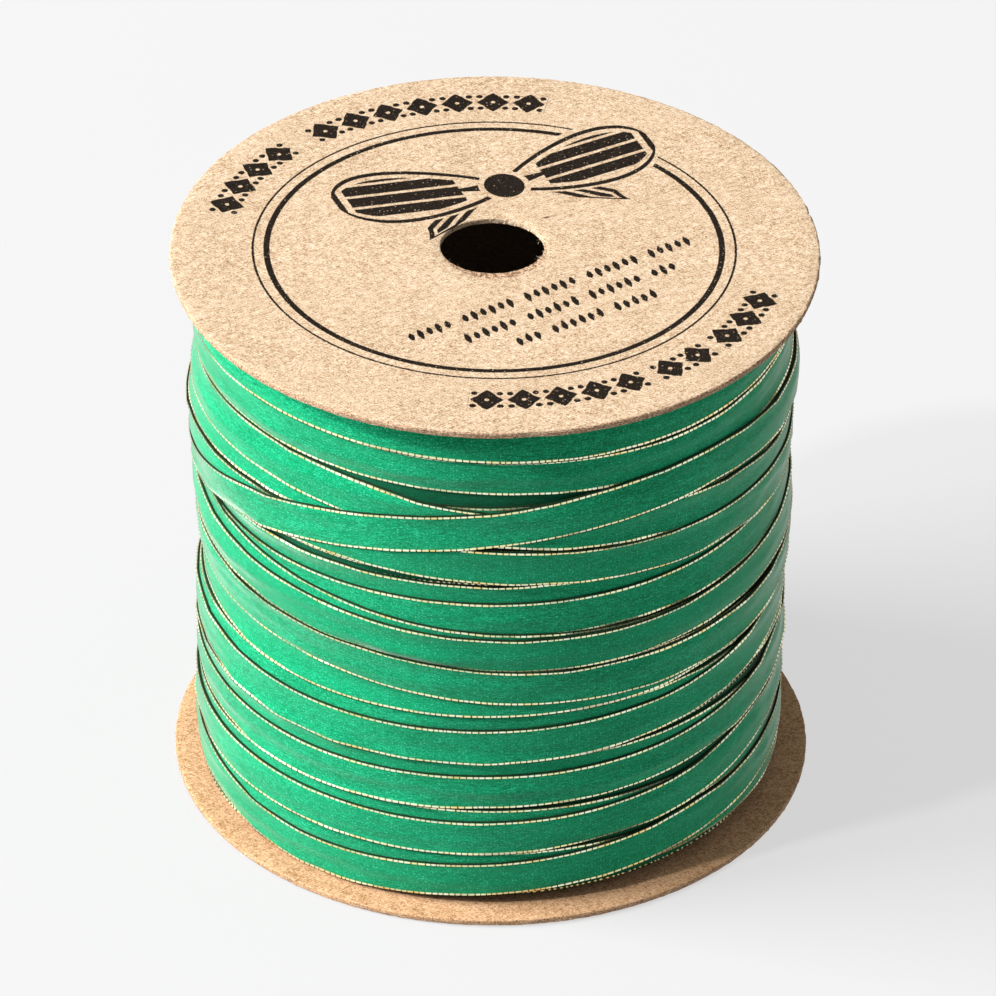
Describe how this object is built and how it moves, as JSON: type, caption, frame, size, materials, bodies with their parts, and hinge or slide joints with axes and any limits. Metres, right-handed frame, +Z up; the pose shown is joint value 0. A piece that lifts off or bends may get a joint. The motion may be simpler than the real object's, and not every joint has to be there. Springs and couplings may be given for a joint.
{
  "type": "ribbon spool",
  "caption": "Straight-sided spool with two flat round board flanges and an open centre hole, wound full of narrow edged ribbon whose free end lifts.",
  "frame": {"origin": "centre of the bottom flange's underside, on the spool's axis", "axes": "+Z up along the spool's axis, from the bottom flange to the top flange; -Y the front"},
  "size_m": [0.1016, 0.1016, 0.094],
  "materials": {
    "kraft_board": "smooth uncoated kraft chipboard with dark flecks",
    "core_paper": "spiral-wound paper tube",
    "dried_glue": "dried hot-melt glue",
    "paper_tape": "crepe paper tape",
    "green_cotton": "fine lengthwise threads with a satin sheen",
    "gold_thread": "twisted metallic thread"
  },
  "bodies": {
    "spool": {"top_flange": "kraft_board", "bottom_flange": "kraft_board", "core_tube": "core_paper", "top_glue_bead": "dried_glue", "bottom_glue_bead": "dried_glue", "starter_tape": "paper_tape", "ribbon_buried_turns": "green_cotton", "ribbon_full_layer_band": "green_cotton", "ribbon_full_layer_upper_thread": "gold_thread", "ribbon_full_layer_lower_thread": "gold_thread", "ribbon_down_turn_band": "green_cotton", "ribbon_down_turn_upper_thread": "gold_thread", "ribbon_down_turn_lower_thread": "gold_thread", "ribbon_up_turn_band": "green_cotton", "ribbon_up_turn_upper_thread": "gold_thread", "ribbon_up_turn_lower_thread": "gold_thread"},
    "ribbon_end": {"ribbon_free_end_band": "green_cotton", "ribbon_free_end_upper_thread": "gold_thread", "ribbon_free_end_lower_thread": "gold_thread"}
  },
  "joints": [
    {"name": "ribbon_end_lift", "type": "hinge", "parent": "spool", "child": "ribbon_end", "pos_m": [0.02768, 0.03836, 0.075], "axis": [0, 0, -1], "range_deg": [0, 100]}
  ]
}
